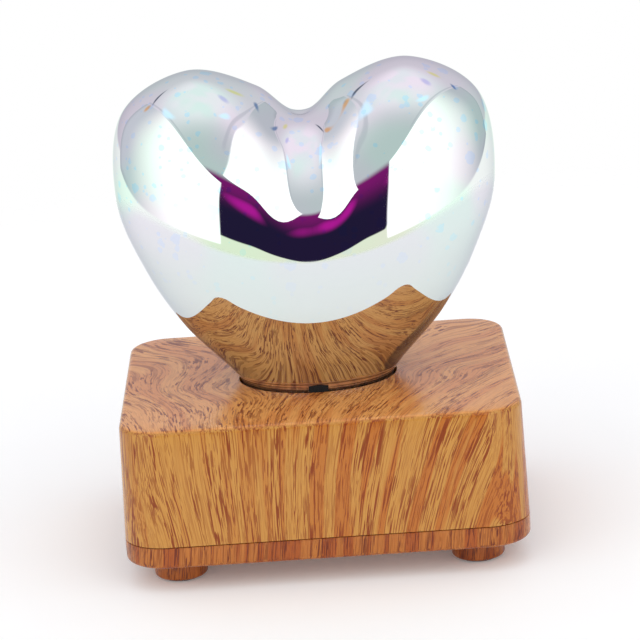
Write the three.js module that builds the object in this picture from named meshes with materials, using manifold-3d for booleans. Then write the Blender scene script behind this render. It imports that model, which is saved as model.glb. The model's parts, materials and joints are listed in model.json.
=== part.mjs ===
// A mood lamp: a heart of blown glass, mirrored on the inside, that stands in the top of a wood-grain base.
// Millimetres, +Z up. The origin is on the table, under the middle of the base, and the front faces -Y.
import * as THREE from "three";
import { mergeVertices } from "three/addons/utils/BufferGeometryUtils.js";
import Module from "manifold-3d";

const wasm = await Module();
wasm.setup();

// -------------------------------------------------- driving dimensions
const GAP = 0.1; // between fixed pieces that touch
const SEAM = 0.3; // the parting line between housing and cover
const BASE = { width: 130, depth: 110, corner: 14, draft: 1, edge: 1.6, wall: 2.4 };
const FOOT = { x: 48, y: 38, radius: 8.7, top: 8, bottom: 0.6, pad: 6.7 };
const COVER = { bottom: FOOT.top, top: 15.05, floor: 2.4 };
const LIP = { gap: 0.3, thick: 1.2, rise: 2.2 }; // of the cover, standing inside the housing
const RIB = { thick: 1.2, top: 14, halfX: 40, halfY: 30 }; // stiffeners inside the cover
const TOP = 53.4; // top face of the base
const TOP_PLATE = 2.6;
const HOUSING_BOTTOM = COVER.top + SEAM;
const PLATE_UNDER = TOP - TOP_PLATE;
const BOSS_TOP = PLATE_UNDER + 0.5; // bosses run a little into the top plate

const NECK = { x: 25, y: 20.8, depth: 7 };
const GLASS_WALL = 1.6;
const WELL = { x: 26, y: 21.9 }; // oval hole that the neck stands in
const NECK_BOTTOM = TOP - NECK.depth;

const SEAT = { x: 31, y: 27, bottom: 43.4, ledge: NECK_BOTTOM - GAP, hole: { x: 21.5, y: 17.3 } };
const SEAT_EAR = { x: 34, y: 23, radius: 3.6, bottom: 45.4, top: 47.4, arm: 15, armWidth: 4.8 };
const LIGHT_BOARD = { x: 29, y: 22, top: SEAT.bottom - GAP, thick: 1.6, screwX: 26.5 };
const LED = { size: 5, height: 1.6, dish: 1.9, x: 8, y: 5.5 };

const BOARD = { width: 64, front: 25, back: 49, bottom: 31, thick: 1.6, screwX: 27, screwY: 31 };
const ON_BOARD = BOARD.bottom + BOARD.thick + 0.05;
const REAR_INNER = 52; // rear wall, inside and outside, at the height of the jack and the button
const REAR_OUTER = 54.4;
const JACK = { x: -18, z: ON_BOARD + 6.5, width: 9, height: 11, length: 13, barrel: 4, bore: 2.8, pin: 1 };
const BUTTON = { x: 18, z: ON_BOARD + 4.3, radius: 4, flange: 5.3, proud: 0.6, travel: 0.8 };
const CASE_SCREW = { head: 2.9, headHeight: 2, shank: 1.45, length: 19 };
const SMALL_SCREW = { head: 2, headHeight: 1.4, shank: 1, length: 6 };
const PILOT = 0.1; // a screw's hole is this much wider than its shank, on the radius

const CORNERS = [
  ["front_left", -1, -1],
  ["front_right", 1, -1],
  ["rear_left", -1, 1],
  ["rear_right", 1, 1],
];

// -------------------------------------------------- materials
const finish = (color, roughness, metalness = 0) =>
  new THREE.MeshStandardMaterial({ color, roughness, metalness });
const woodGrain = finish(0xc8924f, 0.55);
const mirrorGlass = finish(0xdfe8ea, 0.05, 1);
const blackPlastic = finish(0x1b1c1e, 0.5);
const blackFoam = finish(0x1a1a1b, 0.95);
const rubber = finish(0x26262a, 0.9);
const steel = finish(0xb9bcc0, 0.35, 1);
const greenBoard = finish(0x1e6b3c, 0.45);
const whitePlastic = finish(0xf1f1ec, 0.4);
const ledLens = finish(0xf3e7b0, 0.25);
const wireJackets = {
  red: finish(0xb3201d, 0.5),
  green: finish(0x1f7a3a, 0.5),
  blue: finish(0x1f4f9c, 0.5),
  black: finish(0x151515, 0.5),
};

// -------------------------------------------------- joining and cutting
function solid(geometry) {
  const bare = geometry.clone();
  bare.deleteAttribute("normal");
  bare.deleteAttribute("uv");
  const merged = mergeVertices(bare, 1e-4);
  const mesh = new wasm.Mesh({
    numProp: 3,
    vertProperties: merged.attributes.position.array,
    triVerts: new Uint32Array(merged.index.array),
  });
  return new wasm.Manifold(mesh);
}

function geometryOf(body) {
  const mesh = body.getMesh();
  const geometry = new THREE.BufferGeometry();
  geometry.setAttribute("position", new THREE.BufferAttribute(mesh.vertProperties, 3));
  geometry.setIndex(new THREE.BufferAttribute(mesh.triVerts, 1));
  geometry.computeVertexNormals();
  return geometry;
}

const join = (first, ...others) => others.reduce((whole, next) => whole.add(solid(next)), first);
const cut = (body, ...tools) => tools.reduce((rest, tool) => rest.subtract(solid(tool)), body);

// -------------------------------------------------- basic shapes
function box(x0, x1, y0, y1, z0, z1) {
  const geometry = new THREE.BoxGeometry(x1 - x0, y1 - y0, z1 - z0);
  return geometry.translate((x0 + x1) / 2, (y0 + y1) / 2, (z0 + z1) / 2);
}

// A box of the given size, centred on x, y and standing on z.
const block = (x, y, z, width, depth, height) =>
  box(x - width / 2, x + width / 2, y - depth / 2, y + depth / 2, z, z + height);

function post(x, y, radius, z0, z1, sides = 14) {
  const geometry = new THREE.CylinderGeometry(radius, radius, z1 - z0, sides);
  return geometry.rotateX(Math.PI / 2).translate(x, y, (z0 + z1) / 2);
}

// A round bar along Y.
function bar(x, z, radius, y0, y1, sides = 20) {
  const geometry = new THREE.CylinderGeometry(radius, radius, y1 - y0, sides);
  return geometry.translate(x, (y0 + y1) / 2, z);
}

// The base's outline with its rounded corners, drawn in by `inset` all round.
function baseOutline(inset) {
  const radius = BASE.corner - inset;
  const x = BASE.width / 2 - BASE.corner;
  const y = BASE.depth / 2 - BASE.corner;
  const shape = new THREE.Shape();
  shape.absarc(x, y, radius, 0, Math.PI / 2);
  shape.absarc(-x, y, radius, Math.PI / 2, Math.PI);
  shape.absarc(-x, -y, radius, Math.PI, 1.5 * Math.PI);
  shape.absarc(x, -y, radius, 1.5 * Math.PI, 2 * Math.PI);
  return shape;
}

function extrude(shape, z0, z1, curveSegments = 5) {
  const geometry = new THREE.ExtrudeGeometry(shape, { depth: z1 - z0, bevelEnabled: false, curveSegments });
  return geometry.translate(0, 0, z0);
}

// The same, with its top and bottom edges rounded.
function extrudeRounded(shape, z0, z1, edge) {
  const geometry = new THREE.ExtrudeGeometry(shape, {
    depth: z1 - z0 - 2 * edge,
    bevelThickness: edge,
    bevelSize: edge,
    bevelOffset: -edge,
    bevelSegments: 2,
    curveSegments: 5,
  });
  return geometry.translate(0, 0, z0 + edge);
}

function oval(x, y, z0, z1) {
  const shape = new THREE.Shape();
  shape.absellipse(0, 0, x, y, 0, 2 * Math.PI);
  return extrude(shape, z0, z1, 14);
}

// Turns an outline of [radius, height] points about Z.
function turned(points, segments) {
  const outline = points.map(([radius, height]) => new THREE.Vector2(radius, height));
  return new THREE.LatheGeometry(outline, segments).rotateX(Math.PI / 2);
}

// A pan-head screw with its head down and a cross recess, bearing on the face at height z.
function screw(x, y, z, { head, headHeight, shank, length }) {
  const outline = [
    [0, 0], [head * 0.7, 0], [head, headHeight * 0.45], [head, headHeight],
    [shank, headHeight], [shank, headHeight + length - shank], [0, headHeight + length],
  ];
  const arm = head * 1.24;
  const slot = head * 0.28;
  const recessTop = 1 + headHeight * 0.5;
  const recess = [block(0, 0, -1, arm, slot, recessTop), block(0, 0, -1, slot, arm, recessTop)];
  return geometryOf(cut(solid(turned(outline, 12)), ...recess)).translate(x, y, z - headHeight);
}

// -------------------------------------------------- the lamp
const lamp = new THREE.Group();

function add(name, shape, material) {
  const mesh = new THREE.Mesh(shape.isBufferGeometry ? shape : geometryOf(shape), material);
  mesh.name = name;
  lamp.add(mesh);
}

// -------------------------------------------------- glass heart
// Two outlines, measured from the base's top face, run up from the bottom of the neck to the cleft.
// The last point mirrors the one before the cleft, so that the outline passes through the cleft level.
const FRONT_OUTLINE = [
  [NECK.x, -NECK.depth], [NECK.x, -1], [28.4, 4.5], [43, 21], [54, 40], [61.6, 63.7],
  [57.7, 91.2], [36, 103.6], [14, 97.5], [0, 87.2], [-14, 97.5],
];
const SIDE_OUTLINE = [
  [NECK.y, -NECK.depth], [NECK.y, -1], [22.6, 4.5], [29.4, 16.2], [35.3, 32.4], [37.3, 49.3],
  [33.4, 66.3], [23.6, 80.7], [11.1, 87.2], [0, 87.2], [-11.1, 87.2],
];
const TO_CLEFT = (FRONT_OUTLINE.length - 2) / (FRONT_OUTLINE.length - 1);
const LOBE_FULLNESS = 0.5; // how much the lobes swell beside the cleft
const LOBE_START = 0.25;
const GROOVE = { depth: 4, halfWidth: 10, bottom: 50, top: 88 }; // below the cleft, front and back

function through(points) {
  const knots = points.map(([across, z]) => new THREE.Vector3(across, 0, z));
  return new THREE.CatmullRomCurve3(knots, false, "catmullrom", 0.5);
}
const frontCurve = through(FRONT_OUTLINE);
const sideCurve = through(SIDE_OUTLINE);

// A point of the outer surface: rise runs from the neck (0) to the cleft (1), around is the angle about Z.
function heartPoint(rise, around) {
  const front = frontCurve.getPoint(rise * TO_CLEFT);
  const side = sideCurve.getPoint(rise * TO_CLEFT);
  const share = Math.cos(around) ** 2;
  const x = front.x * Math.cos(around);
  const z = side.z * (1 - share) + front.z * share;
  const lobe = LOBE_FULLNESS * THREE.MathUtils.smoothstep(rise, LOBE_START, 1);
  const fade = Math.exp(-((Math.abs(x) / GROOVE.halfWidth) ** 3));
  const groove = GROOVE.depth * THREE.MathUtils.smoothstep(z, GROOVE.bottom, GROOVE.top) * fade;
  const y = side.x * Math.sin(around) * (1 + lobe * share) * (1 - groove / Math.max(side.x, 8));
  return new THREE.Vector3(x, y, TOP + z);
}

// The same point moved `inset` into the glass, square to the surface.
function heartPointInside(rise, around, inset) {
  const step = 0.01;
  const up = heartPoint(Math.min(rise + step, 1), around).sub(heartPoint(Math.max(rise - step, 0), around));
  const along = heartPoint(rise, around + step).sub(heartPoint(rise, around - step));
  const outward = new THREE.Vector3().crossVectors(along, up).normalize();
  return heartPoint(rise, around).addScaledVector(outward, -inset);
}

// A closed skin in rings from the neck to the cleft, with a flat end across the neck.
function heartSkin(inset, rings, columns, neckBottom) {
  const vertices = [];
  for (let ring = 0; ring < rings; ring++)
    for (let column = 0; column < columns; column++) {
      const point = heartPointInside(ring / rings, (2 * Math.PI * column) / columns, inset);
      vertices.push(point.x, point.y, ring === 0 ? neckBottom : point.z);
    }
  const cleft = rings * columns;
  const floor = cleft + 1;
  vertices.push(0, 0, heartPoint(1, 0).z - inset);
  vertices.push(0, 0, neckBottom);
  const faces = [];
  for (let column = 0; column < columns; column++) {
    const next = (column + 1) % columns;
    faces.push(floor, next, column);
    for (let start = 0; start < cleft - columns; start += columns) {
      faces.push(start + column, start + next, start + columns + next);
      faces.push(start + column, start + columns + next, start + columns + column);
    }
    faces.push(cleft - columns + column, cleft - columns + next, cleft);
  }
  const geometry = new THREE.BufferGeometry();
  geometry.setAttribute("position", new THREE.Float32BufferAttribute(vertices, 3));
  geometry.setIndex(faces);
  return geometry;
}

const heartOutside = heartSkin(0, 27, 48, NECK_BOTTOM);
const heartInside = heartSkin(GLASS_WALL, 18, 32, NECK_BOTTOM - 2);
add("glass_heart", cut(solid(heartOutside), heartInside), mirrorGlass);

// Thin foam pads, stuck on the neck at the front and the rear, that take up the gap in the well.
const PAD = { width: 6.4, below: 5, above: 3.6, clear: 0.2 };
const glassClear = heartSkin(-GAP, 27, 48, NECK_BOTTOM - 1);
const wellInside = solid(oval(WELL.x - PAD.clear, WELL.y - PAD.clear, TOP - PAD.below, TOP + PAD.above));
for (const [name, side] of [["neck_pad_front", -1], ["neck_pad_rear", 1]]) {
  const strip = solid(block(0, side * WELL.y, TOP - PAD.below, PAD.width, 6, PAD.below + PAD.above));
  add(name, cut(strip.intersect(wellInside), glassClear), blackFoam);
}

// -------------------------------------------------- upper housing
// Draws a moulding's sides in towards its top: full size at the seam, BASE.draft smaller a side at the top.
function drafted(geometry) {
  const position = geometry.attributes.position;
  for (let i = 0; i < position.count; i++) {
    const inset = (BASE.draft * (position.getZ(i) - HOUSING_BOTTOM)) / (TOP - HOUSING_BOTTOM);
    position.setX(i, position.getX(i) * (1 - (2 * inset) / BASE.width));
    position.setY(i, position.getY(i) * (1 - (2 * inset) / BASE.depth));
  }
  return geometry;
}

const housingBlock = (inset, top) =>
  drafted(extrudeRounded(baseOutline(inset), HOUSING_BOTTOM - 4, top, BASE.edge));
let housing = cut(
  solid(housingBlock(0, TOP)),
  housingBlock(BASE.wall, PLATE_UNDER),
  block(0, 0, 0, BASE.width + 10, BASE.depth + 10, HOUSING_BOTTOM),
  oval(WELL.x, WELL.y, PLATE_UNDER - 1, TOP + 1),
);
const caseBossBottom = COVER.bottom + COVER.floor + 0.2;
for (const [, sx, sy] of CORNERS) {
  housing = join(housing, post(sx * FOOT.x, sy * FOOT.y, 4.2, caseBossBottom, BOSS_TOP));
  housing = join(housing, post(sx * SEAT_EAR.x, sy * SEAT_EAR.y, 3.2, SEAT_EAR.top + GAP, BOSS_TOP));
}
for (const side of [-1, 1])
  housing = join(housing, post(side * BOARD.screwX, BOARD.screwY, 3, ON_BOARD + GAP, BOSS_TOP));
for (const [, sx, sy] of CORNERS) {
  const caseHole = CASE_SCREW.shank + PILOT;
  const earHole = SMALL_SCREW.shank + PILOT;
  housing = cut(housing, post(sx * FOOT.x, sy * FOOT.y, caseHole, COVER.bottom, COVER.bottom + 20, 12));
  housing = cut(housing, post(sx * SEAT_EAR.x, sy * SEAT_EAR.y, earHole, SEAT_EAR.top - 1, TOP - 1.4, 12));
}
for (const side of [-1, 1]) {
  const hole = SMALL_SCREW.shank + PILOT;
  housing = cut(housing, post(side * BOARD.screwX, BOARD.screwY, hole, BOARD.bottom, BOARD.bottom + 10, 12));
}
for (const [x, z, radius] of [[JACK.x, JACK.z, JACK.barrel], [BUTTON.x, BUTTON.z, BUTTON.radius]])
  housing = cut(housing, bar(x, z, radius + 0.3, REAR_INNER - 3, REAR_OUTER + 3));
add("upper_housing", housing, woodGrain);

// -------------------------------------------------- bottom cover
const lipTop = HOUSING_BOTTOM + LIP.rise;
const lip = geometryOf(
  cut(
    solid(extrude(baseOutline(BASE.wall + LIP.gap), COVER.bottom + 1, lipTop)),
    extrude(baseOutline(BASE.wall + LIP.gap + LIP.thick), COVER.bottom, lipTop + 1),
  ),
);
let cover = cut(
  solid(extrudeRounded(baseOutline(0), COVER.bottom, COVER.top + 4, BASE.edge)),
  block(0, 0, COVER.top, BASE.width + 10, BASE.depth + 10, 10),
  extrude(baseOutline(BASE.wall), COVER.bottom + COVER.floor, COVER.top + 1),
);
cover = join(cover, lip);
for (const share of [-0.5, 0, 0.5]) {
  const ribBottom = COVER.bottom + 1;
  const ribHeight = RIB.top - ribBottom;
  cover = join(cover, block(share * RIB.halfX, 0, ribBottom, RIB.thick, 2 * RIB.halfY, ribHeight));
  cover = join(cover, block(0, share * RIB.halfY, ribBottom, 2 * RIB.halfX, RIB.thick, ribHeight));
}
for (const [, sx, sy] of CORNERS) {
  const holeRadius = CASE_SCREW.shank + 0.3;
  const screwHole = post(sx * FOOT.x, sy * FOOT.y, holeRadius, COVER.bottom - 1, COVER.bottom + 4, 12);
  cover = cut(cover, screwHole);
}
add("bottom_cover", cover, woodGrain);

// -------------------------------------------------- feet, their pads and the case screws
const SCREW_FACE = 4.4; // the shelf in a foot that the screw's head bears on
const PAD_SHELF = 1.5; // the shallow recess that holds the rubber pad
const FOOT_OUTLINE = [
  [CASE_SCREW.shank + 0.3, SCREW_FACE], [CASE_SCREW.head + 0.4, SCREW_FACE],
  [CASE_SCREW.head + 0.4, PAD_SHELF],
  [FOOT.pad + 0.3, PAD_SHELF], [FOOT.pad + 0.3, FOOT.bottom], [FOOT.radius - 1, FOOT.bottom],
  [FOOT.radius - 0.3, FOOT.bottom + 0.4], [FOOT.radius - 0.1, FOOT.bottom + 1.2],
  [FOOT.radius, FOOT.top - GAP], [CASE_SCREW.shank + 0.3, FOOT.top - GAP],
  [CASE_SCREW.shank + 0.3, SCREW_FACE],
];
const FOOT_PAD_OUTLINE = [
  [0, 0], [FOOT.pad - 0.3, 0], [FOOT.pad, 0.3], [FOOT.pad, PAD_SHELF - GAP], [0, PAD_SHELF - GAP],
];
for (const [place, sx, sy] of CORNERS) {
  const x = sx * FOOT.x;
  const y = sy * FOOT.y;
  add("foot_" + place, turned(FOOT_OUTLINE, 24).translate(x, y, 0), woodGrain);
  add("foot_pad_" + place, turned(FOOT_PAD_OUTLINE, 20).translate(x, y, 0), rubber);
  add("case_screw_" + place, screw(x, y, SCREW_FACE - GAP, CASE_SCREW), steel);
}

// -------------------------------------------------- glass seat: a ring under the top plate
let seat = solid(oval(SEAT.x, SEAT.y, SEAT.bottom, PLATE_UNDER - GAP));
for (const [, sx, sy] of CORNERS) {
  const x = sx * SEAT_EAR.x;
  const y = sy * SEAT_EAR.y;
  const height = SEAT_EAR.top - SEAT_EAR.bottom;
  const arm = block(-SEAT_EAR.arm / 2, 0, SEAT_EAR.bottom, SEAT_EAR.arm, SEAT_EAR.armWidth, height);
  arm.rotateZ(Math.atan2(y, x)).translate(x, y, 0);
  seat = join(seat, post(x, y, SEAT_EAR.radius, SEAT_EAR.bottom, SEAT_EAR.top), arm);
}
seat = cut(
  seat,
  oval(WELL.x + 0.3, WELL.y + 0.3, SEAT.ledge, TOP),
  oval(SEAT.hole.x, SEAT.hole.y, SEAT.bottom - 1, TOP),
);
for (const [, sx, sy] of CORNERS)
  seat = cut(seat, post(sx * SEAT_EAR.x, sy * SEAT_EAR.y, SMALL_SCREW.shank + 0.3, SEAT.bottom, TOP, 12));
for (const side of [-1, 1]) {
  const pilotRadius = SMALL_SCREW.shank + PILOT;
  const pilotHole = post(side * LIGHT_BOARD.screwX, 0, pilotRadius, SEAT.bottom - 1, SEAT.ledge - 0.5, 12);
  seat = cut(seat, pilotHole);
}
add("glass_seat", seat, blackPlastic);
for (const [place, sx, sy] of CORNERS) {
  const seatScrew = screw(sx * SEAT_EAR.x, sy * SEAT_EAR.y, SEAT_EAR.bottom - GAP, SMALL_SCREW);
  add("seat_screw_" + place, seatScrew, steel);
}

// -------------------------------------------------- light board and its four LEDs
const lightBoardBottom = LIGHT_BOARD.top - LIGHT_BOARD.thick;
const lightBoardScrew = { ...SMALL_SCREW, length: 3.6 };
let lightBoard = solid(oval(LIGHT_BOARD.x, LIGHT_BOARD.y, lightBoardBottom, LIGHT_BOARD.top));
for (const [name, side] of [["light_board_screw_left", -1], ["light_board_screw_right", 1]]) {
  const x = side * LIGHT_BOARD.screwX;
  const screwHole = post(x, 0, SMALL_SCREW.shank + 0.3, lightBoardBottom - 1, LIGHT_BOARD.top + 1, 12);
  lightBoard = cut(lightBoard, screwHole);
  add(name, screw(x, 0, lightBoardBottom - GAP, lightBoardScrew), steel);
}
add("light_board", lightBoard, whitePlastic);
for (const [place, sx, sy] of CORNERS) {
  const x = sx * LED.x;
  const y = sy * LED.y;
  const foot = LIGHT_BOARD.top + 0.05;
  const dish = post(x, y, LED.dish, foot + LED.height - 0.5, foot + LED.height + 1, 16);
  add("led_" + place, cut(solid(block(x, y, foot, LED.size, LED.size, LED.height)), dish), ledLens);
}

// -------------------------------------------------- driver board
const boardDepth = BOARD.back - BOARD.front;
let board = solid(block(0, BOARD.front + boardDepth / 2, BOARD.bottom, BOARD.width, boardDepth, BOARD.thick));
for (const [name, side] of [["board_screw_left", -1], ["board_screw_right", 1]]) {
  const x = side * BOARD.screwX;
  board = cut(board, post(x, BOARD.screwY, SMALL_SCREW.shank + 0.3, BOARD.bottom - 1, ON_BOARD + 1, 12));
  add(name, screw(x, BOARD.screwY, BOARD.bottom - GAP, SMALL_SCREW), steel);
}
add("driver_board", board, greenBoard);
add("driver_chip", block(0, 36, ON_BOARD, 6, 5, 1.6), blackPlastic);
const CAN_OUTLINE = [[0, 0], [3, 0], [3.15, 0.6], [3, 1.2], [3, 7], [2.6, 7.4], [0, 7.4]];
add("capacitor", turned(CAN_OUTLINE, 16).translate(0, 44, ON_BOARD), steel);

// -------------------------------------------------- power jack
// A block on the board, with a bored barrel through the rear wall and a contact pin inside.
const jackFace = REAR_INNER - 0.3;
const jackNose = REAR_OUTER - 0.2;
const jackBlock = block(JACK.x, jackFace - JACK.length / 2, ON_BOARD, JACK.width, JACK.length, JACK.height);
const jackBody = join(solid(jackBlock), bar(JACK.x, JACK.z, JACK.barrel, jackFace - 1, jackNose));
add("power_jack", cut(jackBody, bar(JACK.x, JACK.z, JACK.bore, jackNose - 9, jackNose + 1)), blackPlastic);
add("power_jack_pin", bar(JACK.x, JACK.z, JACK.pin, jackNose - 9 + GAP, jackNose - 1.4, 12), steel);

// -------------------------------------------------- push button, its switch and the plunger
const SWITCH = { width: 8, front: 39.5, back: 46, height: 8.6, boreFront: 43.5 };
const PLUNGER = { radius: 1.5, front: SWITCH.boreFront + BUTTON.travel + 0.5, back: 50.3 };
const switchDepth = SWITCH.back - SWITCH.front;
const switchMiddle = SWITCH.front + switchDepth / 2;
const switchBlock = block(BUTTON.x, switchMiddle, ON_BOARD, SWITCH.width, switchDepth, SWITCH.height);
const switchBore = bar(BUTTON.x, BUTTON.z, PLUNGER.radius + 0.25, SWITCH.boreFront, SWITCH.back + 1, 16);
add("switch_body", cut(solid(switchBlock), switchBore), blackPlastic);
add("switch_plunger", bar(BUTTON.x, BUTTON.z, PLUNGER.radius, PLUNGER.front, PLUNGER.back, 16), whitePlastic);
const buttonBack = REAR_OUTER + BUTTON.proud;
const flangeFront = PLUNGER.back + GAP;
const flangeBack = REAR_INNER - 0.4;
const BUTTON_OUTLINE = [
  [0, flangeFront], [BUTTON.flange, flangeFront], [BUTTON.flange, flangeBack], [BUTTON.radius, flangeBack],
  [BUTTON.radius, buttonBack - 0.4], [BUTTON.radius - 0.4, buttonBack], [0, buttonBack - 0.2],
];
const buttonCap = turned(BUTTON_OUTLINE, 24).rotateX(-Math.PI / 2);
add("button_cap", buttonCap.translate(BUTTON.x, 0, BUTTON.z), blackPlastic);

// -------------------------------------------------- wires from the light board to the driver board
const PLUG = { x: 9.5, y: 29.2, width: 12, depth: 4.5, height: 5.5, pitch: 2.5 };
const WIRE_RADIUS = 0.55;
add("led_plug", block(PLUG.x, PLUG.y, ON_BOARD, PLUG.width, PLUG.depth, PLUG.height), whitePlastic);

// A round wire through the points of its route.
function wire(route) {
  const section = new THREE.Shape();
  section.absarc(0, 0, WIRE_RADIUS, 0, 2 * Math.PI);
  const path = new THREE.CatmullRomCurve3(route.map((point) => new THREE.Vector3(...point)));
  return new THREE.ExtrudeGeometry(section, { steps: 16, curveSegments: 4, extrudePath: path });
}

Object.entries(wireJackets).forEach(([colour, jacket], i, all) => {
  const across = (i - (all.length - 1) / 2) * PLUG.pitch;
  const plugTop = ON_BOARD + PLUG.height + 0.3;
  const route = [
    [across, 15, lightBoardBottom - 0.9], [across, 17, 38.6], [across + 3, 21, 36.8],
    [PLUG.x + across, 26, plugTop + 1.8], [PLUG.x + across, PLUG.y - 0.5, plugTop],
  ];
  add("led_wire_" + colour, wire(route), jacket);
});

export default lamp;
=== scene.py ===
"""A mood lamp: a heart of mirrored blown glass standing in a wood-grain base, in a white studio.

Lengths are in millimetres until a mesh is made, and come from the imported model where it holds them."""

import json
import math

import bmesh
import bpy
import numpy as np
from mathutils import Matrix, Vector


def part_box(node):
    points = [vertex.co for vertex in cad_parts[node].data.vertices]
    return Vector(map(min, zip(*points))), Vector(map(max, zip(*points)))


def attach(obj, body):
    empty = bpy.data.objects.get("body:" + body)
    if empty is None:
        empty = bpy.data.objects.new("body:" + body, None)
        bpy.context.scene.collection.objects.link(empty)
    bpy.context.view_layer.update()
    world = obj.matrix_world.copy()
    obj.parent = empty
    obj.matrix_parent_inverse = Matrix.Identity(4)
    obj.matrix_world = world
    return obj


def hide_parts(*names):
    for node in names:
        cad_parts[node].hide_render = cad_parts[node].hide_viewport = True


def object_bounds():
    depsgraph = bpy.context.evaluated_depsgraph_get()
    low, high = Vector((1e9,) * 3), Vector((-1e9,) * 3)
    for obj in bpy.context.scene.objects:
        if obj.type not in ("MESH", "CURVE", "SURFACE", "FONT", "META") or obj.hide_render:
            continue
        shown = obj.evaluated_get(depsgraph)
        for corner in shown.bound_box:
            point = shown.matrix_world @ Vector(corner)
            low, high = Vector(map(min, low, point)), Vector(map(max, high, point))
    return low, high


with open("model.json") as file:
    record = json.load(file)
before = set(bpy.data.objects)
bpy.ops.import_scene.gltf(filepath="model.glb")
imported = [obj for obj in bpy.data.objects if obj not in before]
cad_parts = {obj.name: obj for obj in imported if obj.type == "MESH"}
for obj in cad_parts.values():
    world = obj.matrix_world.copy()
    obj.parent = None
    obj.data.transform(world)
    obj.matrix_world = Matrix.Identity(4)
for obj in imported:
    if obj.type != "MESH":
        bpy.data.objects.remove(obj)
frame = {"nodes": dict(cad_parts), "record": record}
CAD_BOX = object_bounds()
MM = 0.001


def box_mm(node):
    """The lowest and highest corner of a CAD node, in millimetres."""
    low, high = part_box(node)
    return low / MM, high / MM


# ---------------------------------------------------------------- sizes
HOUSING_HIGH = box_mm("upper_housing")[1]
COVER_LOW, COVER_HIGH = box_mm("bottom_cover")
TOP = HOUSING_HIGH.z
HALF_X = HOUSING_HIGH.x
HALF_Y = HOUSING_HIGH.y
CORNER = 14
EDGE = 1.6
DRAFT = 1
WALL = 2.4
TOP_PLATE = 2.6
LIP_RISE = 2.2
LIP_GAP = 0.3
LIP_THICK = 1.2
SEAM_GAP = 0.3
SEAM_BEVEL = 0.2
SEAM_HIGH = COVER_HIGH.z - LIP_RISE
SEAM_LOW = SEAM_HIGH - SEAM_GAP
REAR_HOLE = 4.3
WELL_X = 26
WELL_Y = 21.9
WELL_RIM = 0.5
NECK_X = 25
NECK_Y = 20.8
NECK_BOTTOM = box_mm("glass_heart")[0].z
GLASS_WALL = 1.6


# ---------------------------------------------------------------- node graphs
class Graph:
    """A node tree written as nested calls, which return output sockets."""

    def __init__(self, tree):
        self.tree = tree
        tree.nodes.clear()

    def add(self, kind, inputs=None, output=0, **settings):
        node = self.tree.nodes.new("ShaderNode" + kind)
        for name, value in settings.items():
            setattr(node, name, value)
        for key, value in (inputs or {}).items():
            self.plug(node.inputs[key], value)
        return node.outputs[output] if node.outputs else node

    def plug(self, socket, value):
        if isinstance(value, bpy.types.NodeSocket):
            self.tree.links.new(value, socket)
        else:
            socket.default_value = value

    def math(self, operation, a, b=0.0):
        return self.add("Math", {0: a, 1: b}, operation=operation)

    def ramp(self, value, low, high, to_low=0.0, to_high=1.0):
        """A smooth step from to_low, where value is at low, to to_high, where it is at high."""
        inputs = {0: value, 1: low, 2: high, 3: to_low, 4: to_high}
        return self.add("MapRange", inputs, interpolation_type="SMOOTHSTEP", clamp=True)

    def product(self, first, *others):
        for other in others:
            first = self.math("MULTIPLY", first, other)
        return first

    def mix(self, factor, a, b):
        return self.add("Mix", {0: factor, 6: a, 7: b}, output=2, data_type="RGBA")

    def mix_shader(self, factor, a, b):
        return self.add("MixShader", {0: factor, 1: a, 2: b})

    def xyz(self, x, y, z):
        return self.add("CombineXYZ", {0: x, 1: y, 2: z})

    def split(self, vector):
        node = self.tree.nodes.new("ShaderNodeSeparateXYZ")
        self.plug(node.inputs[0], vector)
        return node.outputs[0], node.outputs[1], node.outputs[2]

    def scaled(self, vector, factor):
        return self.add("VectorMath", {0: vector, 3: factor}, operation="SCALE")

    def length(self, vector):
        return self.add("VectorMath", {0: vector}, operation="LENGTH", output=1)

    def noise(self, vector, scale=1.0, detail=2.0, output=0):
        inputs = {"Vector": vector, "Scale": scale, "Detail": detail, "Roughness": 0.5}
        return self.add("TexNoise", inputs, output=output)

    def position(self):
        """The point on the object in the row frame, in millimetres."""
        return self.scaled(self.add("TexCoord", output=3), 1 / MM)

    def bump(self, height, strength, distance_mm):
        inputs = {"Strength": strength, "Distance": distance_mm * MM, "Height": height}
        return self.add("Bump", inputs)


def srgb(red, green, blue):
    """A colour given as 0-255 display values, as the linear RGBA that nodes take."""
    def linear(value):
        share = value / 255
        return share / 12.92 if share <= 0.04045 else ((share + 0.055) / 1.055) ** 2.4
    return (linear(red), linear(green), linear(blue), 1.0)


def new_material(name):
    material = bpy.data.materials.new(name)
    material.use_nodes = True
    return material, Graph(material.node_tree)


def principled(graph, **inputs):
    """A Principled shader with these inputs, whose names have underscores for spaces."""
    names = {key.replace("_", " "): value for key, value in inputs.items()}
    return graph.add("BsdfPrincipled", names)


def output(graph, surface):
    graph.add("OutputMaterial", {"Surface": surface})


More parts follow.
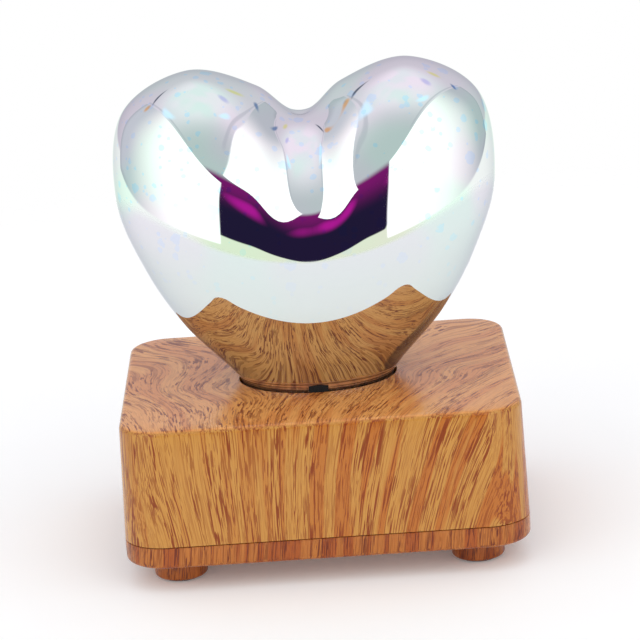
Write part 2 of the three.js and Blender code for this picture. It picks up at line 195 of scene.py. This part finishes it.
# ---------------------------------------------------------------- wood-grain print
def wood_print(graph, across, depth, along, tones, bands, lines=1.0, short=1.0, long_lines=1.0):
    """Printed grain as (colour, marks): a tan ground, broad bands, long thin lines and short dashes.

    across, depth and along are distances in millimetres. The grain runs along the third. bands, lines and
    long_lines say how strong each is, and short how much shorter every mark is."""
    def stretched(wide, tall, detail, offset):
        vector = graph.xyz(
            graph.math("ADD", graph.product(across, wide), offset),
            graph.product(depth, wide),
            graph.product(along, tall * short),
        )
        return graph.noise(vector, detail=detail)

    band = graph.ramp(stretched(0.19, 0.008, 1.0, 3.0), 0.53, 0.60)
    cluster = graph.ramp(stretched(0.22, 0.010, 1.0, 51.0), 0.40, 0.52, 0.25, 1.0)
    busy = graph.math("MAXIMUM", band, cluster)
    line = graph.product(graph.ramp(stretched(2.0, 0.016, 1.0, 23.0), 0.555, 0.59), long_lines)
    dash = graph.ramp(stretched(2.7, 0.13, 1.0, 37.0), 0.55, 0.60)
    faint = graph.ramp(stretched(2.8, 0.07, 2.0, 61.0), 0.40, 0.65)
    strength = graph.ramp(stretched(0.5, 0.06, 0.0, 83.0), 0.35, 0.6, 0.6, 1.0)
    marks = graph.product(busy, strength, graph.math("MAXIMUM", line, dash))
    ground, band_tone, line_tone, faint_tone = tones
    colour = graph.mix(graph.product(faint, 0.45), ground, faint_tone)
    colour = graph.mix(graph.product(band, bands), colour, band_tone)
    colour = graph.mix(graph.product(marks, lines), colour, line_tone)
    return colour, marks


# The ground, its broad bands, its lines and dashes, and its faint streaks.
SIDE_TONES = (srgb(198, 142, 68), srgb(182, 104, 38), srgb(132, 52, 4), srgb(180, 117, 50))
TOP_TONES = (srgb(228, 158, 88), srgb(206, 122, 60), srgb(130, 58, 18), srgb(206, 130, 68))
COVER_TONES = (srgb(186, 114, 50), srgb(160, 76, 28), srgb(108, 40, 10), srgb(154, 78, 32))
# The feet's tones are darker than the cover's: painted shade under the cover's edge.
SHADED_FOOT_TONES = (srgb(174, 98, 42), srgb(144, 68, 26), srgb(96, 36, 10), srgb(146, 72, 28))


def satin_wood(graph, colour, marks):
    """The printed plastic: a satin film that the grain marks dent very slightly."""
    mottle = graph.noise(graph.scaled(graph.position(), 0.9), detail=3.0)
    relief = graph.math("SUBTRACT", graph.product(mottle, 0.5), marks)
    normal = graph.bump(relief, 0.15, 0.08)
    roughness = graph.ramp(marks, 0, 1, 0.19, 0.30)
    output(graph, principled(
        graph, Base_Color=colour, Roughness=roughness, Normal=normal, Specular_IOR_Level=0.36,
    ))


def housing_material():
    """Grain that stands up on the walls and runs on over the top."""
    material, graph = new_material("wood_print_housing")
    place = graph.position()
    x, y, z = graph.split(place)
    middle = (SEAM_HIGH + TOP) / 2
    lean = graph.math("ADD", graph.product(x, 0.0058), 0.13)
    slow = graph.noise(graph.scaled(place, 0.02), detail=1.0)
    waver = graph.product(graph.math("SUBTRACT", slow, 0.5), 5)

    # On the walls the grain stands up. On the front and rear it leans more and more to the right.
    up = graph.math("SUBTRACT", z, middle)
    not_side = graph.ramp(graph.math("ABSOLUTE", x), HALF_X - CORNER, HALF_X - 2, 1.0, 0.0)
    shift = graph.product(up, lean, not_side)
    wall_across = graph.math("ADD", graph.math("SUBTRACT", x, shift), waver)
    bands = graph.ramp(x, -35, 15, 0.3, 0.9)
    wall, wall_marks = wood_print(graph, wall_across, y, up, SIDE_TONES, bands=bands, lines=0.95)

    # On the top it carries on from the front wall to the back, in short strokes that swirl.
    inward = graph.math("ADD", y, HALF_Y)
    swirl = graph.split(graph.noise(graph.scaled(place, 0.024), detail=1.0, output=1))[0]
    bend = graph.product(graph.math("SUBTRACT", swirl, 0.5), 15, graph.ramp(inward, 0, 45))
    run = graph.math("ADD", inward, TOP - middle)
    top_across = graph.math("SUBTRACT", x, graph.product(run, lean))
    top_across = graph.math("ADD", graph.math("ADD", top_across, waver), bend)
    top, top_marks = wood_print(
        graph, top_across, -HALF_Y, run, TOP_TONES, bands=0.6, short=1.7, long_lines=0.6,
    )

    facing_up = graph.ramp(graph.split(graph.add("NewGeometry", output=1))[2], 0.6, 0.95)
    colour = graph.mix(facing_up, wall, top)
    marks = graph.add("Mix", {0: facing_up, 2: wall_marks, 3: top_marks})
    satin_wood(graph, colour, marks)
    return material


def simple_wood(name, tones, short):
    """Grain that stands up all round, as on the cover and the feet."""
    material, graph = new_material(name)
    x, y, z = graph.split(graph.position())
    across = graph.math("SUBTRACT", x, graph.product(z, 0.12))
    colour, marks = wood_print(graph, graph.product(across, 1.3), y, z, tones, bands=0.8, short=short)
    satin_wood(graph, colour, marks)
    return material


# ---------------------------------------------------------------- mirrored glass
def etched_dots(graph, place, high):
    """How much of a dot there is: small ragged dots of two sizes, most of them where high is 1."""
    ragged = graph.noise(graph.scaled(place, 0.6), detail=2.0)
    roughened = graph.product(graph.math("SUBTRACT", ragged, 0.5), 0.35)
    dots = 0.0
    for scale, largest in ((0.17, 0.40), (0.34, 0.42)):
        gap = graph.add("TexVoronoi", {"Vector": place, "Scale": scale}, output=0)
        chance = graph.split(graph.add("TexVoronoi", {"Vector": place, "Scale": scale}, output=1))[0]
        size = graph.product(chance, chance, largest)
        past = graph.math("SUBTRACT", graph.math("ADD", gap, roughened), size)
        dots = graph.math("MAXIMUM", dots, graph.product(graph.ramp(past, -0.06, 0.0, 1.0, 0.0), high))
    return dots


def painted_dark_flank_share(graph, x, z):
    """How much painted dark reflection goes low on the flanks, where the eye looks along the clear outer
    glass at a grazing angle.
    """
    facing = graph.add("LayerWeight", {0: 0.5}, output=1)
    limit = graph.ramp(x, -5, 20, 0.80, 0.60)
    grazing = graph.ramp(graph.math("SUBTRACT", facing, limit), -0.02, 0.03)
    return graph.product(grazing, graph.ramp(z, TOP + 14, TOP + 30, 1.0, 0.0), 0.85)


def clear_neck(graph, x, y, z):
    """Clear glass with thin level streaks of the coating left on it."""
    level = graph.xyz(graph.product(x, 0.02), graph.product(y, 0.02), graph.product(z, 1.6))
    streaks = graph.ramp(graph.noise(level, detail=2.0), 0.4, 0.6, 0.35, 1.0)
    clear = principled(
        graph, Base_Color=(0.96, 0.98, 0.98, 1), Roughness=0.02, Transmission_Weight=1.0, IOR=1.46,
    )
    trace = principled(graph, Base_Color=(0.95, 0.84, 0.80, 1), Metallic=1.0, Roughness=0.3)
    return graph.mix_shader(streaks, clear, trace)


def mirror_material():
    """Mirrored glass with a faint mint and lilac tint, on a clear neck."""
    material, graph = new_material("mirrored_glass")
    place = graph.position()
    x, y, z = graph.split(place)
    upper = graph.ramp(z, TOP + 35, TOP + 70)
    mint = graph.mix(upper, (0.72, 0.79, 0.77, 1), (0.71, 0.83, 0.79, 1))
    lilac = graph.mix(upper, (0.73, 0.78, 0.77, 1), (0.79, 0.76, 0.82, 1))
    tint = graph.noise(graph.scaled(place, 0.035), detail=1.0)
    pale = graph.mix(graph.ramp(tint, 0.38, 0.62), mint, lilac)
    dots = etched_dots(graph, place, graph.ramp(z, TOP + 30, TOP + 72, 0.15, 1.0))
    dot_tone = graph.mix(graph.ramp(tint, 0.42, 0.56), (0.42, 0.80, 0.95, 1), (0.58, 0.70, 0.95, 1))
    colour = graph.mix(graph.product(dots, 0.55), pale, dot_tone)
    mirror = principled(
        graph, Base_Color=colour, Metallic=1.0, Roughness=0.02, Specular_Tint=(0.72, 0.73, 0.76, 1),
    )
    # Painted dark reflection: a near-black shader mixed in low on the flanks, where the glass is seen at a
    # grazing angle.
    painted_dark_flank = principled(graph, Base_Color=(0.055, 0.045, 0.042, 1), Roughness=0.15)
    mirror = graph.mix_shader(painted_dark_flank_share(graph, x, z), mirror, painted_dark_flank)

    # The coating ends in a slightly ragged line just above the well. Below it the neck is clear.
    ripple = graph.noise(graph.scaled(place, 0.15), detail=2.0)
    line = graph.math("ADD", z, graph.product(graph.math("SUBTRACT", ripple, 0.5), 1.2))
    coated = graph.ramp(line, TOP + 3.0, TOP + 3.3)
    output(graph, graph.mix_shader(coated, clear_neck(graph, x, y, z), mirror))
    return material


# ---------------------------------------------------------------- making meshes
def linked_object(name, built):
    """A bmesh, in millimetres, as an object of the scene."""
    mesh = bpy.data.meshes.new(name)
    bmesh.ops.recalc_face_normals(built, faces=built.faces)
    built.to_mesh(mesh)
    built.free()
    made = bpy.data.objects.new(name, mesh)
    bpy.context.scene.collection.objects.link(made)
    return made


def finish_piece(name, built, body, material, replaced, smooth_angle=35):
    """A bmesh as a piece of the lamp that stands for the CAD node replaced."""
    piece = linked_object(name, built)
    mesh = piece.data
    mesh.transform(Matrix.Scale(MM, 4))
    mesh.materials.append(material)
    mesh.shade_smooth()
    mesh.set_sharp_from_angle(angle=math.radians(smooth_angle))
    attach(piece, body)
    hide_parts(replaced)


def loft(rings, closed=False, cap_first=False, cap_last=False):
    """A skin through rings of equally many points."""
    built = bmesh.new()
    rows = [[built.verts.new(point) for point in ring] for ring in rings]
    count = len(rows[0])
    pairs = list(zip(rows, rows[1:])) + ([(rows[-1], rows[0])] if closed else [])
    for lower, upper in pairs:
        for i in range(count):
            j = (i + 1) % count
            built.faces.new((lower[i], lower[j], upper[j], upper[i]))
    if cap_first:
        built.faces.new(rows[0][::-1])
    if cap_last:
        built.faces.new(rows[-1])
    return built


def arc(centre_a, centre_b, radius, start, end, steps):
    """Points of an arc in a profile plane, angles in degrees."""
    for i in range(steps + 1):
        angle = math.radians(start + (end - start) * i / steps)
        yield centre_a + radius * math.cos(angle), centre_b + radius * math.sin(angle)


# ---------------------------------------------------------------- the base
CORNER_STEPS = 16
HOLE_STEPS = 48
SIDE_STEPS = 10


def base_ring(inset, z):
    """The base's rounded outline, drawn in by inset, at height z."""
    radius = CORNER - inset
    centre_x = HALF_X - CORNER
    centre_y = HALF_Y - CORNER
    corners = []
    for k, (sx, sy) in enumerate(((1, 1), (-1, 1), (-1, -1), (1, -1))):
        corners.append(list(arc(sx * centre_x, sy * centre_y, radius, 90 * k, 90 * k + 90, CORNER_STEPS)))
    ring = []
    for k, corner in enumerate(corners):
        ring += corner
        start = Vector(corner[-1])
        stop = Vector(corners[(k + 1) % 4][0])
        ring += [tuple(start.lerp(stop, i / SIDE_STEPS)) for i in range(1, SIDE_STEPS)]
    return [(x, y, z) for x, y in ring]


def oval_ring(radius_x, radius_y, z):
    """An oval with a point for each point of the base's outline."""
    ring = []
    for x, y, _ in base_ring(0, 0):
        angle = math.atan2(y / HALF_Y, x / HALF_X)
        ring.append((radius_x * math.cos(angle), radius_y * math.sin(angle), z))
    return ring


def blend_rings(first, last, steps):
    return [
        [tuple(Vector(a).lerp(Vector(b), i / steps)) for a, b in zip(first, last)]
        for i in range(1, steps)
    ]


def drilled(built, fillers):
    """The mesh with a round hole through its rear wall round the middle of each of these CAD nodes."""
    body = linked_object("housing_blank", built)
    circle = list(arc(0, 0, REAR_HOLE, 0, 360, HOLE_STEPS))[:-1]
    cutters = []
    for filler in fillers:
        low, high = box_mm(filler)
        x, z = (low.x + high.x) / 2, (low.z + high.z) / 2
        ends = (HALF_Y - 2 * WALL - DRAFT, HALF_Y + WALL)
        rings = [[(x + a, y, z + b) for a, b in circle] for y in ends]
        cutters.append(linked_object("hole", loft(rings, cap_first=True, cap_last=True)))
        modifier = body.modifiers.new("hole", "BOOLEAN")
        modifier.object = cutters[-1]
        modifier.operation = "DIFFERENCE"
        modifier.solver = "EXACT"
    bpy.context.view_layer.update()
    cut = bmesh.new()
    cut.from_object(body, bpy.context.evaluated_depsgraph_get())
    for spare in [body] + cutters:
        bpy.data.objects.remove(spare)
    return cut


def make_housing():
    """The box with its draft, rounded edge, oval well and underside, as one closed skin."""
    def drafted(inset, z):
        return base_ring(inset + DRAFT * (z - SEAM_HIGH) / (TOP - SEAM_HIGH), z)

    rings = [drafted(0, SEAM_HIGH), drafted(0, (SEAM_HIGH + TOP) / 2)]
    for a, b in arc(EDGE, TOP - EDGE, EDGE, 180, 90, 6):
        rings.append(drafted(a, b))
    well_edge = oval_ring(WELL_X + WELL_RIM, WELL_Y + WELL_RIM, TOP)
    rings += blend_rings(rings[-1], well_edge, 6)
    for a, b in arc(WELL_RIM, TOP - WELL_RIM, WELL_RIM, 90, 180, 4):
        rings.append(oval_ring(WELL_X + a, WELL_Y + a, b))
    under = TOP - TOP_PLATE
    rings.append(oval_ring(WELL_X, WELL_Y, under))
    rings.append(drafted(WALL, under))
    rings.append(drafted(WALL, SEAM_HIGH))
    built = drilled(loft(rings, closed=True), ["power_jack_pin", "button_cap"])
    finish_piece("wood_housing", built, "base", housing_material(), "upper_housing")


def make_cover():
    """The tray under the seam, with the lip that stands inside the housing."""
    low = COVER_LOW.z
    rings = []
    for a, b in arc(EDGE, low + EDGE, EDGE, 270, 180, 6):
        rings.append(base_ring(a, b))
    lip_outside = WALL + LIP_GAP
    lip_inside = lip_outside + LIP_THICK
    rings.append(base_ring(0, SEAM_LOW - SEAM_BEVEL))
    rings.append(base_ring(SEAM_BEVEL, SEAM_LOW))
    rings.append(base_ring(lip_outside, SEAM_LOW))
    rings.append(base_ring(lip_outside, COVER_HIGH.z))
    rings.append(base_ring(lip_inside, COVER_HIGH.z))
    rings.append(base_ring(lip_inside, low + WALL))
    built = loft(rings, cap_first=True, cap_last=True)
    material = simple_wood("wood_print_cover", COVER_TONES, 1.4)
    finish_piece("wood_cover", built, "base", material, "bottom_cover")


def turned(outline, segments, x, y):
    """A closed [radius, height] outline turned about the vertical through x, y."""
    rings = []
    for i in range(segments):
        angle = 2 * math.pi * i / segments
        rings.append([(x + r * math.cos(angle), y + r * math.sin(angle), z) for r, z in outline])
    built = loft(rings, closed=True)
    bmesh.ops.remove_doubles(built, verts=built.verts, dist=1e-4)
    return built


FOOT_SEGMENTS = 64
FOOT_HOLE = 1.75
FOOT_TAPER = 0.1
FOOT_ROUND = 1.3
FOOT_PAD_RECESS = (7, 0.9)  # radius, and depth from the foot's underside
FOOT_SCREW_RECESS = (3.3, 3.8)


def make_feet():
    material = simple_wood("wood_print_feet_shaded", SHADED_FOOT_TONES, 1.6)
    for node in sorted(frame["nodes"]):
        if not node.startswith("foot_") or node.startswith("foot_pad"):
            continue
        low, high = box_mm(node)
        x, y = (low.x + high.x) / 2, (low.y + high.y) / 2
        radius = (high.x - low.x) / 2
        narrow = radius - FOOT_TAPER
        pad_shelf = low.z + FOOT_PAD_RECESS[1]
        screw_shelf = low.z + FOOT_SCREW_RECESS[1]
        outline = [(FOOT_HOLE, high.z), (radius, high.z), (narrow, low.z + FOOT_ROUND)]
        outline += list(arc(narrow - FOOT_ROUND, low.z + FOOT_ROUND, FOOT_ROUND, 0, -90, 6))[1:]
        outline += [(FOOT_PAD_RECESS[0], low.z), (FOOT_PAD_RECESS[0], pad_shelf)]
        outline += [(FOOT_SCREW_RECESS[0], pad_shelf), (FOOT_SCREW_RECESS[0], screw_shelf)]
        outline += [(FOOT_HOLE, screw_shelf)]
        built = turned(outline, FOOT_SEGMENTS, x, y)
        finish_piece("wood_" + node, built, "base", material, node)


# ---------------------------------------------------------------- the glass heart
# Half the width, and the height above the base, from the neck over a lobe to the cleft. The last point is
# past the cleft and only shapes the curve into it.
FRONT_OUTLINE = [
    (NECK_X, NECK_BOTTOM - TOP), (NECK_X, -1), (28.4, 4.5), (43, 21), (54, 40), (61.6, 63.7),
    (57.7, 91.2), (36, 103.6), (14, 97.5), (0, 87.2), (-14, 97.5),
]
# Half the depth, and the height above the base, at the same steps.
SIDE_OUTLINE = [
    (NECK_Y, NECK_BOTTOM - TOP), (NECK_Y, -1), (22.6, 4.5), (29.4, 16.2), (35.3, 32.4), (37.3, 49.3),
    (33.4, 66.3), (23.6, 80.7), (11.1, 87.2), (0, 87.2), (-11.1, 87.2),
]
LOBE_FULLNESS = 0.5
LOBE_START = 0.25
GROOVE_DEPTH = 4
GROOVE_HALF_WIDTH = 10
GROOVE_BOTTOM = 50
GROOVE_TOP = 88
HEART_COLUMNS = 256
OUTER_RINGS = 200
INNER_RINGS = 120


def spline(points, share):
    """Points of a Catmull-Rom curve up to the last knot but one, share running from 0 to 1."""
    knots = np.array(points, float)
    before = np.vstack([2 * knots[0] - knots[1], knots])
    position = share * (len(knots) - 2)
    index = np.clip(np.floor(position).astype(int), 0, len(knots) - 3)
    t = (position - index)[..., None]
    p0, p1, p2, p3 = before[index], knots[index], knots[index + 1], knots[index + 2]
    square = 2 * p0 - 5 * p1 + 4 * p2 - p3
    cube = 3 * p1 - p0 - 3 * p2 + p3
    return 0.5 * (2 * p1 + (p2 - p0) * t + square * t**2 + cube * t**3)


def smoothstep(value, low, high):
    share = np.clip((value - low) / (high - low), 0, 1)
    return share**2 * (3 - 2 * share)


def heart_surface(rise, around):
    """Points of the outer surface. rise is 0 at the neck and 1 at the cleft, around is the angle about Z."""
    front = spline(FRONT_OUTLINE, rise)
    side = spline(SIDE_OUTLINE, rise)
    share = np.cos(around) ** 2
    lobe = LOBE_FULLNESS * smoothstep(rise, LOBE_START, 1)
    x = front[..., 0] * np.cos(around)
    z = side[..., 1] * (1 - share) + front[..., 1] * share
    fade = np.exp(-np.abs(x / GROOVE_HALF_WIDTH) ** 3)
    groove = GROOVE_DEPTH * smoothstep(z, GROOVE_BOTTOM, GROOVE_TOP) * fade
    y = side[..., 0] * np.sin(around) * (1 + lobe * share) * (1 - groove / np.maximum(side[..., 0], 8))
    return np.stack([x, y, TOP + z], -1)


def heart_rings(inset, rings):
    """Rings of the surface moved inset into the glass, and the point at the cleft."""
    rises = np.linspace(0, 1, rings, endpoint=False)
    angles = np.linspace(0, 2 * np.pi, HEART_COLUMNS, endpoint=False)
    rise, around = np.meshgrid(rises, angles, indexing="ij")
    step = 1e-3
    up = heart_surface(np.minimum(rise + step, 1), around) - heart_surface(np.maximum(rise - step, 0), around)
    along = heart_surface(rise, around + step) - heart_surface(rise, around - step)
    outward = np.cross(along, up)
    outward /= np.linalg.norm(outward, axis=-1, keepdims=True)
    points = heart_surface(rise, around) - inset * outward
    points[0, :, 2] = NECK_BOTTOM
    cleft = heart_surface(np.array(1.0), np.array(0.0)) - np.array([0, 0, inset])
    return points, cleft


def make_heart():
    """The glass: an outer and an inner skin, joined at the open end of the neck."""
    built = bmesh.new()
    neck_ends = []
    for inset, rings in ((0, OUTER_RINGS), (GLASS_WALL, INNER_RINGS)):
        points, cleft = heart_rings(inset, rings)
        rows = [[built.verts.new(point) for point in ring] for ring in points]
        tip = built.verts.new(cleft)
        for lower, upper in zip(rows, rows[1:]):
            for i in range(HEART_COLUMNS):
                j = (i + 1) % HEART_COLUMNS
                built.faces.new((lower[i], lower[j], upper[j], upper[i]))
        for i in range(HEART_COLUMNS):
            built.faces.new((rows[-1][i], rows[-1][(i + 1) % HEART_COLUMNS], tip))
        neck_ends.append(rows[0])
    outer, inner = neck_ends
    for i in range(HEART_COLUMNS):
        j = (i + 1) % HEART_COLUMNS
        built.faces.new((outer[i], inner[i], inner[j], outer[j]))
    finish_piece(
        "mirrored_heart", built, "glass", mirror_material(), "glass_heart", smooth_angle=50,
    )


# ---------------------------------------------------------------- pieces that keep their CAD shape
def plain_material(name, colour, roughness, metallic=0.0, grain=1.0, contrast=0.12, bump=0.1):
    """A moulded, stamped or painted surface, with a fine mottle in its colour, gloss and height."""
    material, graph = new_material(name)
    texture = graph.noise(graph.scaled(graph.position(), grain), detail=4.0)
    darker = tuple(channel * (1 - contrast) for channel in colour[:3]) + (1.0,)
    tone = graph.mix(texture, darker, colour)
    rough = graph.ramp(texture, 0.3, 0.7, roughness * 0.85, roughness * 1.15)
    output(graph, principled(
        graph, Base_Color=tone, Roughness=rough, Metallic=metallic, Normal=graph.bump(texture, bump, 0.1),
    ))
    return material


def dress_cad_nodes():
    """Gives each CAD node that still shows the material of its slot."""
    shades = {
        "foot_rubber": plain_material("foot_rubber", srgb(40, 40, 42), 0.85, grain=1.5),
        "black_foam": plain_material("black_foam", srgb(24, 25, 27), 0.95, grain=3.0, contrast=0.5, bump=0.6),
        "screw_steel": plain_material("screw_steel", srgb(190, 192, 196), 0.3, metallic=1.0, grain=2.25),
        "can_aluminium": plain_material("can_aluminium", srgb(205, 206, 208), 0.3, metallic=1.0),
        "green_board": plain_material("green_board", srgb(24, 92, 52), 0.35, grain=0.5, contrast=0.25),
        "white_board": plain_material("white_board", srgb(236, 236, 230), 0.35, grain=0.5, contrast=0.05),
        "white_plastic": plain_material("white_plastic", srgb(232, 230, 224), 0.35, contrast=0.05),
        "led_lens": plain_material("led_lens", srgb(240, 226, 150), 0.2, contrast=0.1),
        "black_plastic": plain_material("black_plastic", srgb(26, 27, 29), 0.45, grain=2.0),
        "wire_red": plain_material("wire_red", srgb(176, 32, 28), 0.4),
        "wire_green": plain_material("wire_green", srgb(32, 120, 60), 0.4),
        "wire_blue": plain_material("wire_blue", srgb(32, 76, 156), 0.4),
        "wire_black": plain_material("wire_black", srgb(22, 22, 22), 0.4),
    }
    slots = {part["node"]: part["material_slot"] for part in frame["record"]["subparts"]}
    for name, node in frame["nodes"].items():
        shade = shades.get(slots[name])
        if shade:
            node.data.materials.clear()
            node.data.materials.append(shade)


# ---------------------------------------------------------------- studio
# A panel of the light tent is a plane that faces the lamp from an azimuth. On it, u runs towards the front
# and v upwards, both in units of its distance. Its front edge is at front + slant * v. Its light falls from
# full towards the front to dim at far.
PANELS = (
    {"facing": -72, "height": 1.66, "front": 1.27, "slant": 0.78, "far": -0.80, "back": -1.50, "dim": 0.58},
    {"facing": 65, "height": 1.70, "front": 1.11, "slant": 0.60, "far": -1.20, "back": -2.30, "dim": 0.50},
)
PANEL_BOTTOM = -0.27

# Glows in the dark opening: azimuth, elevation, half width and half height in degrees.
MAGENTA_GLOWS = ((11, 29, 8, 8), (-4, 20, 5, 7))

# Things seen past the panels: azimuth, elevation, half width and half height in degrees, and colour.
ROOM_ODDS = (
    (-130, 50.5, 16, 1.6, (0.03, 0.05, 0.09, 1)),
    (-117, 46.0, 6, 4.0, (0.62, 0.34, 0.14, 1)),
    (-70, 61.0, 26, 3.0, (0.66, 0.94, 1.10, 1)),
    (50, 64.0, 20, 2.5, (0.66, 0.94, 1.10, 1)),
    (112, 66.0, 16, 4.0, (0.50, 0.50, 0.76, 1)),
    (140, 50.0, 8, 4.0, (0.62, 0.60, 0.26, 1)),
    (123, 43.0, 6, 2.5, (0.10, 0.18, 0.34, 1)),
)
LIGHT_LEVEL = 1.3


class Surround(Graph):
    """The world's node tree. Azimuth, which is 0 in front, and elevation are in degrees."""

    def __init__(self, tree):
        super().__init__(tree)
        self.direction = self.add("TexCoord", output=0)
        self.x, self.y, self.z = self.split(self.direction)
        self.azimuth = self.math("DEGREES", self.math("ARCTAN2", self.x, self.product(self.y, -1)))
        self.elevation = self.math("DEGREES", self.math("ARCSINE", self.z))
        self.side = self.math("ABSOLUTE", self.azimuth)

    def off_from(self, azimuth, elevation, half_width, half_height):
        """Distance from a place, in its half sizes."""
        across = self.math("DIVIDE", self.math("SUBTRACT", self.azimuth, azimuth), half_width)
        upwards = self.math("DIVIDE", self.math("SUBTRACT", self.elevation, elevation), half_height)
        return self.length(self.xyz(across, upwards, 0.0))

    def cloth(self):
        """The cloth overhead and behind, with the table's edge below it."""
        cloud = self.noise(self.direction, scale=2.5, detail=1.0)
        overhead = self.mix(self.ramp(cloud, 0.4, 0.6), (0.74, 0.80, 0.80, 1), (0.83, 0.78, 0.83, 1))
        cloth = self.mix(self.ramp(self.elevation, 45, 72), (0.60, 0.58, 0.62, 1), overhead)
        near_front = self.ramp(self.side, 5, 60, 1.0, 0.0)
        gloom = self.product(near_front, self.ramp(self.elevation, 42, 68, 1.0, 0.0), 0.8)
        cloth = self.mix(gloom, cloth, (0.44, 0.50, 0.50, 1))
        below = self.mix(self.ramp(self.side, 25, 55), (0.75, 0.80, 0.62, 1), (0.88, 0.95, 0.87, 1))
        return self.mix(self.ramp(self.elevation, -4, -1), below, cloth)

    def with_opening(self, colour):
        """The colour with a dark opening in front, which glows magenta in places."""
        glow = self.ramp(self.elevation, 12, 34, 0.0, 0.4)
        for place in MAGENTA_GLOWS:
            glow = self.math("MAXIMUM", glow, self.ramp(self.off_from(*place), 0.2, 1.3, 1.0, 0.0))
        opening = self.mix(glow, (0.014, 0.009, 0.034, 1), (0.42, 0.01, 0.27, 1))
        sill = self.ramp(self.side, 0, 14, -13.5, -4.5)
        above_sill = self.ramp(self.math("SUBTRACT", self.elevation, sill), -0.5, 0.5)
        below_top = self.ramp(self.elevation, 33, 37, 1.0, 0.0)
        between = self.ramp(self.math("ABSOLUTE", self.math("ADD", self.azimuth, 3)), 21, 22, 1.0, 0.0)
        return self.mix(self.product(above_sill, below_top, between), colour, opening)

    def with_panel(self, colour, facing, height, front, slant, far, back, dim):
        """The colour with a white panel over it, which has a frame and a thin rail above its top."""
        sine, cosine = math.sin(math.radians(facing)), math.cos(math.radians(facing))
        turn = 1 if facing < 0 else -1
        towards = self.math("SUBTRACT", self.product(self.x, sine), self.product(self.y, cosine))
        towards = self.math("MAXIMUM", towards, 1e-4)
        sideways = self.math("ADD", self.product(self.x, cosine), self.product(self.y, sine))
        u = self.product(self.math("DIVIDE", sideways, towards), turn)
        v = self.math("DIVIDE", self.z, towards)
        to_front = self.math("SUBTRACT", self.math("ADD", self.product(v, slant), front), u)
        to_top = self.math("SUBTRACT", height, v)
        to_bottom = self.math("SUBTRACT", v, PANEL_BOTTOM)
        to_back = self.math("SUBTRACT", u, back)
        margins = (to_front, to_top, to_bottom, to_back)
        inside = self.product(*(self.ramp(margin, 0.0, 0.03) for margin in margins))
        shade = self.mix(self.ramp(u, far, 0.0), (0.90, 0.98, 1.02, 1), (1.0, 1.0, 0.98, 1))
        panel = self.scaled(shade, self.ramp(u, far, 0.85, dim, 1.2))

        # The frame shows as a grey line along its back and bottom.
        to_frame = self.math("MINIMUM", to_back, self.product(to_bottom, 3))
        frame_line = self.product(
            self.ramp(to_frame, 0.02, 0.35, 0.45, 0.0), self.ramp(u, far + 0.2, far - 0.3),
        )
        panel = self.mix(frame_line, panel, (0.30, 0.32, 0.35, 1))
        colour = self.mix(inside, colour, panel)
        rail = self.product(
            self.ramp(to_top, -0.16, -0.12), self.ramp(to_top, -0.08, -0.04, 1.0, 0.0),
            self.ramp(u, back, back + 0.1), self.ramp(u, 1.2, 1.5, 1.0, 0.0),
        )
        return self.mix(self.product(rail, 0.5), colour, (0.40, 0.42, 0.46, 1))


def make_world():
    """A light tent: a pale surround, a tall white panel to each side and a dark opening between them."""
    world = bpy.data.worlds.new("light_tent")
    bpy.context.scene.world = world
    world.use_nodes = True
    sky = Surround(world.node_tree)
    colour = sky.with_opening(sky.cloth())
    for panel in PANELS:
        colour = sky.with_panel(colour, **panel)
    for *place, tone in ROOM_ODDS:
        colour = sky.mix(sky.ramp(sky.off_from(*place), 0.3, 1.1, 0.85, 0.0), colour, tone)

    # The camera itself sees a plain pale backdrop.
    seen = sky.add("LightPath", output=0)
    colour = sky.mix(seen, sky.scaled(colour, LIGHT_LEVEL), (1.0, 1.0, 1.0, 1))
    sky.add("OutputWorld", {"Surface": sky.add("Background", {0: colour, 1: 1.0})})


FLOOR_RADIUS = 900
FLOOR_FADE = (380, 520)


def make_floor():
    """A round white table that fades into the backdrop."""
    built = bmesh.new()
    bmesh.ops.create_circle(built, cap_ends=True, radius=FLOOR_RADIUS, segments=96)
    floor = linked_object("floor", built)
    floor.data.transform(Matrix.Scale(MM, 4))
    material, graph = new_material("floor_paper")
    place = graph.position()
    mottle = graph.noise(graph.scaled(place, 0.05), detail=3.0)
    colour = graph.mix(mottle, (0.95, 0.95, 0.95, 1), (0.97, 0.97, 0.97, 1))
    paper = principled(
        graph, Base_Color=colour, Roughness=0.9, Emission_Color=(1.0, 1.0, 1.0, 1), Emission_Strength=0.1,
    )
    gone = graph.ramp(graph.length(place), *FLOOR_FADE)
    output(graph, graph.mix_shader(gone, paper, graph.add("BsdfTransparent")))
    floor.data.materials.append(material)


def make_camera():
    """A long lens from the front, a little above, with the camera rolled a few degrees."""
    low, high = CAD_BOX
    distance = 1.0
    elevation = math.radians(15.85)
    yaw = math.radians(0.19)
    roll = math.radians(-3.84)
    target = Vector((0.00183, 0, low.z + 0.4542 * (high.z - low.z)))
    back = Vector((
        math.sin(yaw) * math.cos(elevation), -math.cos(yaw) * math.cos(elevation), math.sin(elevation),
    ))
    right = (-back).cross(Vector((0, 0, 1))).normalized()
    up = right.cross(-back)
    turned_right = right * math.cos(roll) + up * math.sin(roll)
    turned_up = up * math.cos(roll) - right * math.sin(roll)
    data = bpy.data.cameras.new("camera")
    data.sensor_width = 36
    data.lens = 171.1
    data.clip_start = 0.01
    data.clip_end = 20
    camera = bpy.data.objects.new("camera", data)
    bpy.context.scene.collection.objects.link(camera)
    rotation = Matrix((turned_right, turned_up, back)).transposed()
    camera.matrix_world = Matrix.Translation(target + back * distance) @ rotation.to_4x4()
    bpy.context.scene.camera = camera


bpy.context.scene.view_settings.view_transform = "Standard"
make_camera()
make_world()
make_floor()
make_housing()
make_cover()
make_feet()
make_heart()
dress_cad_nodes()
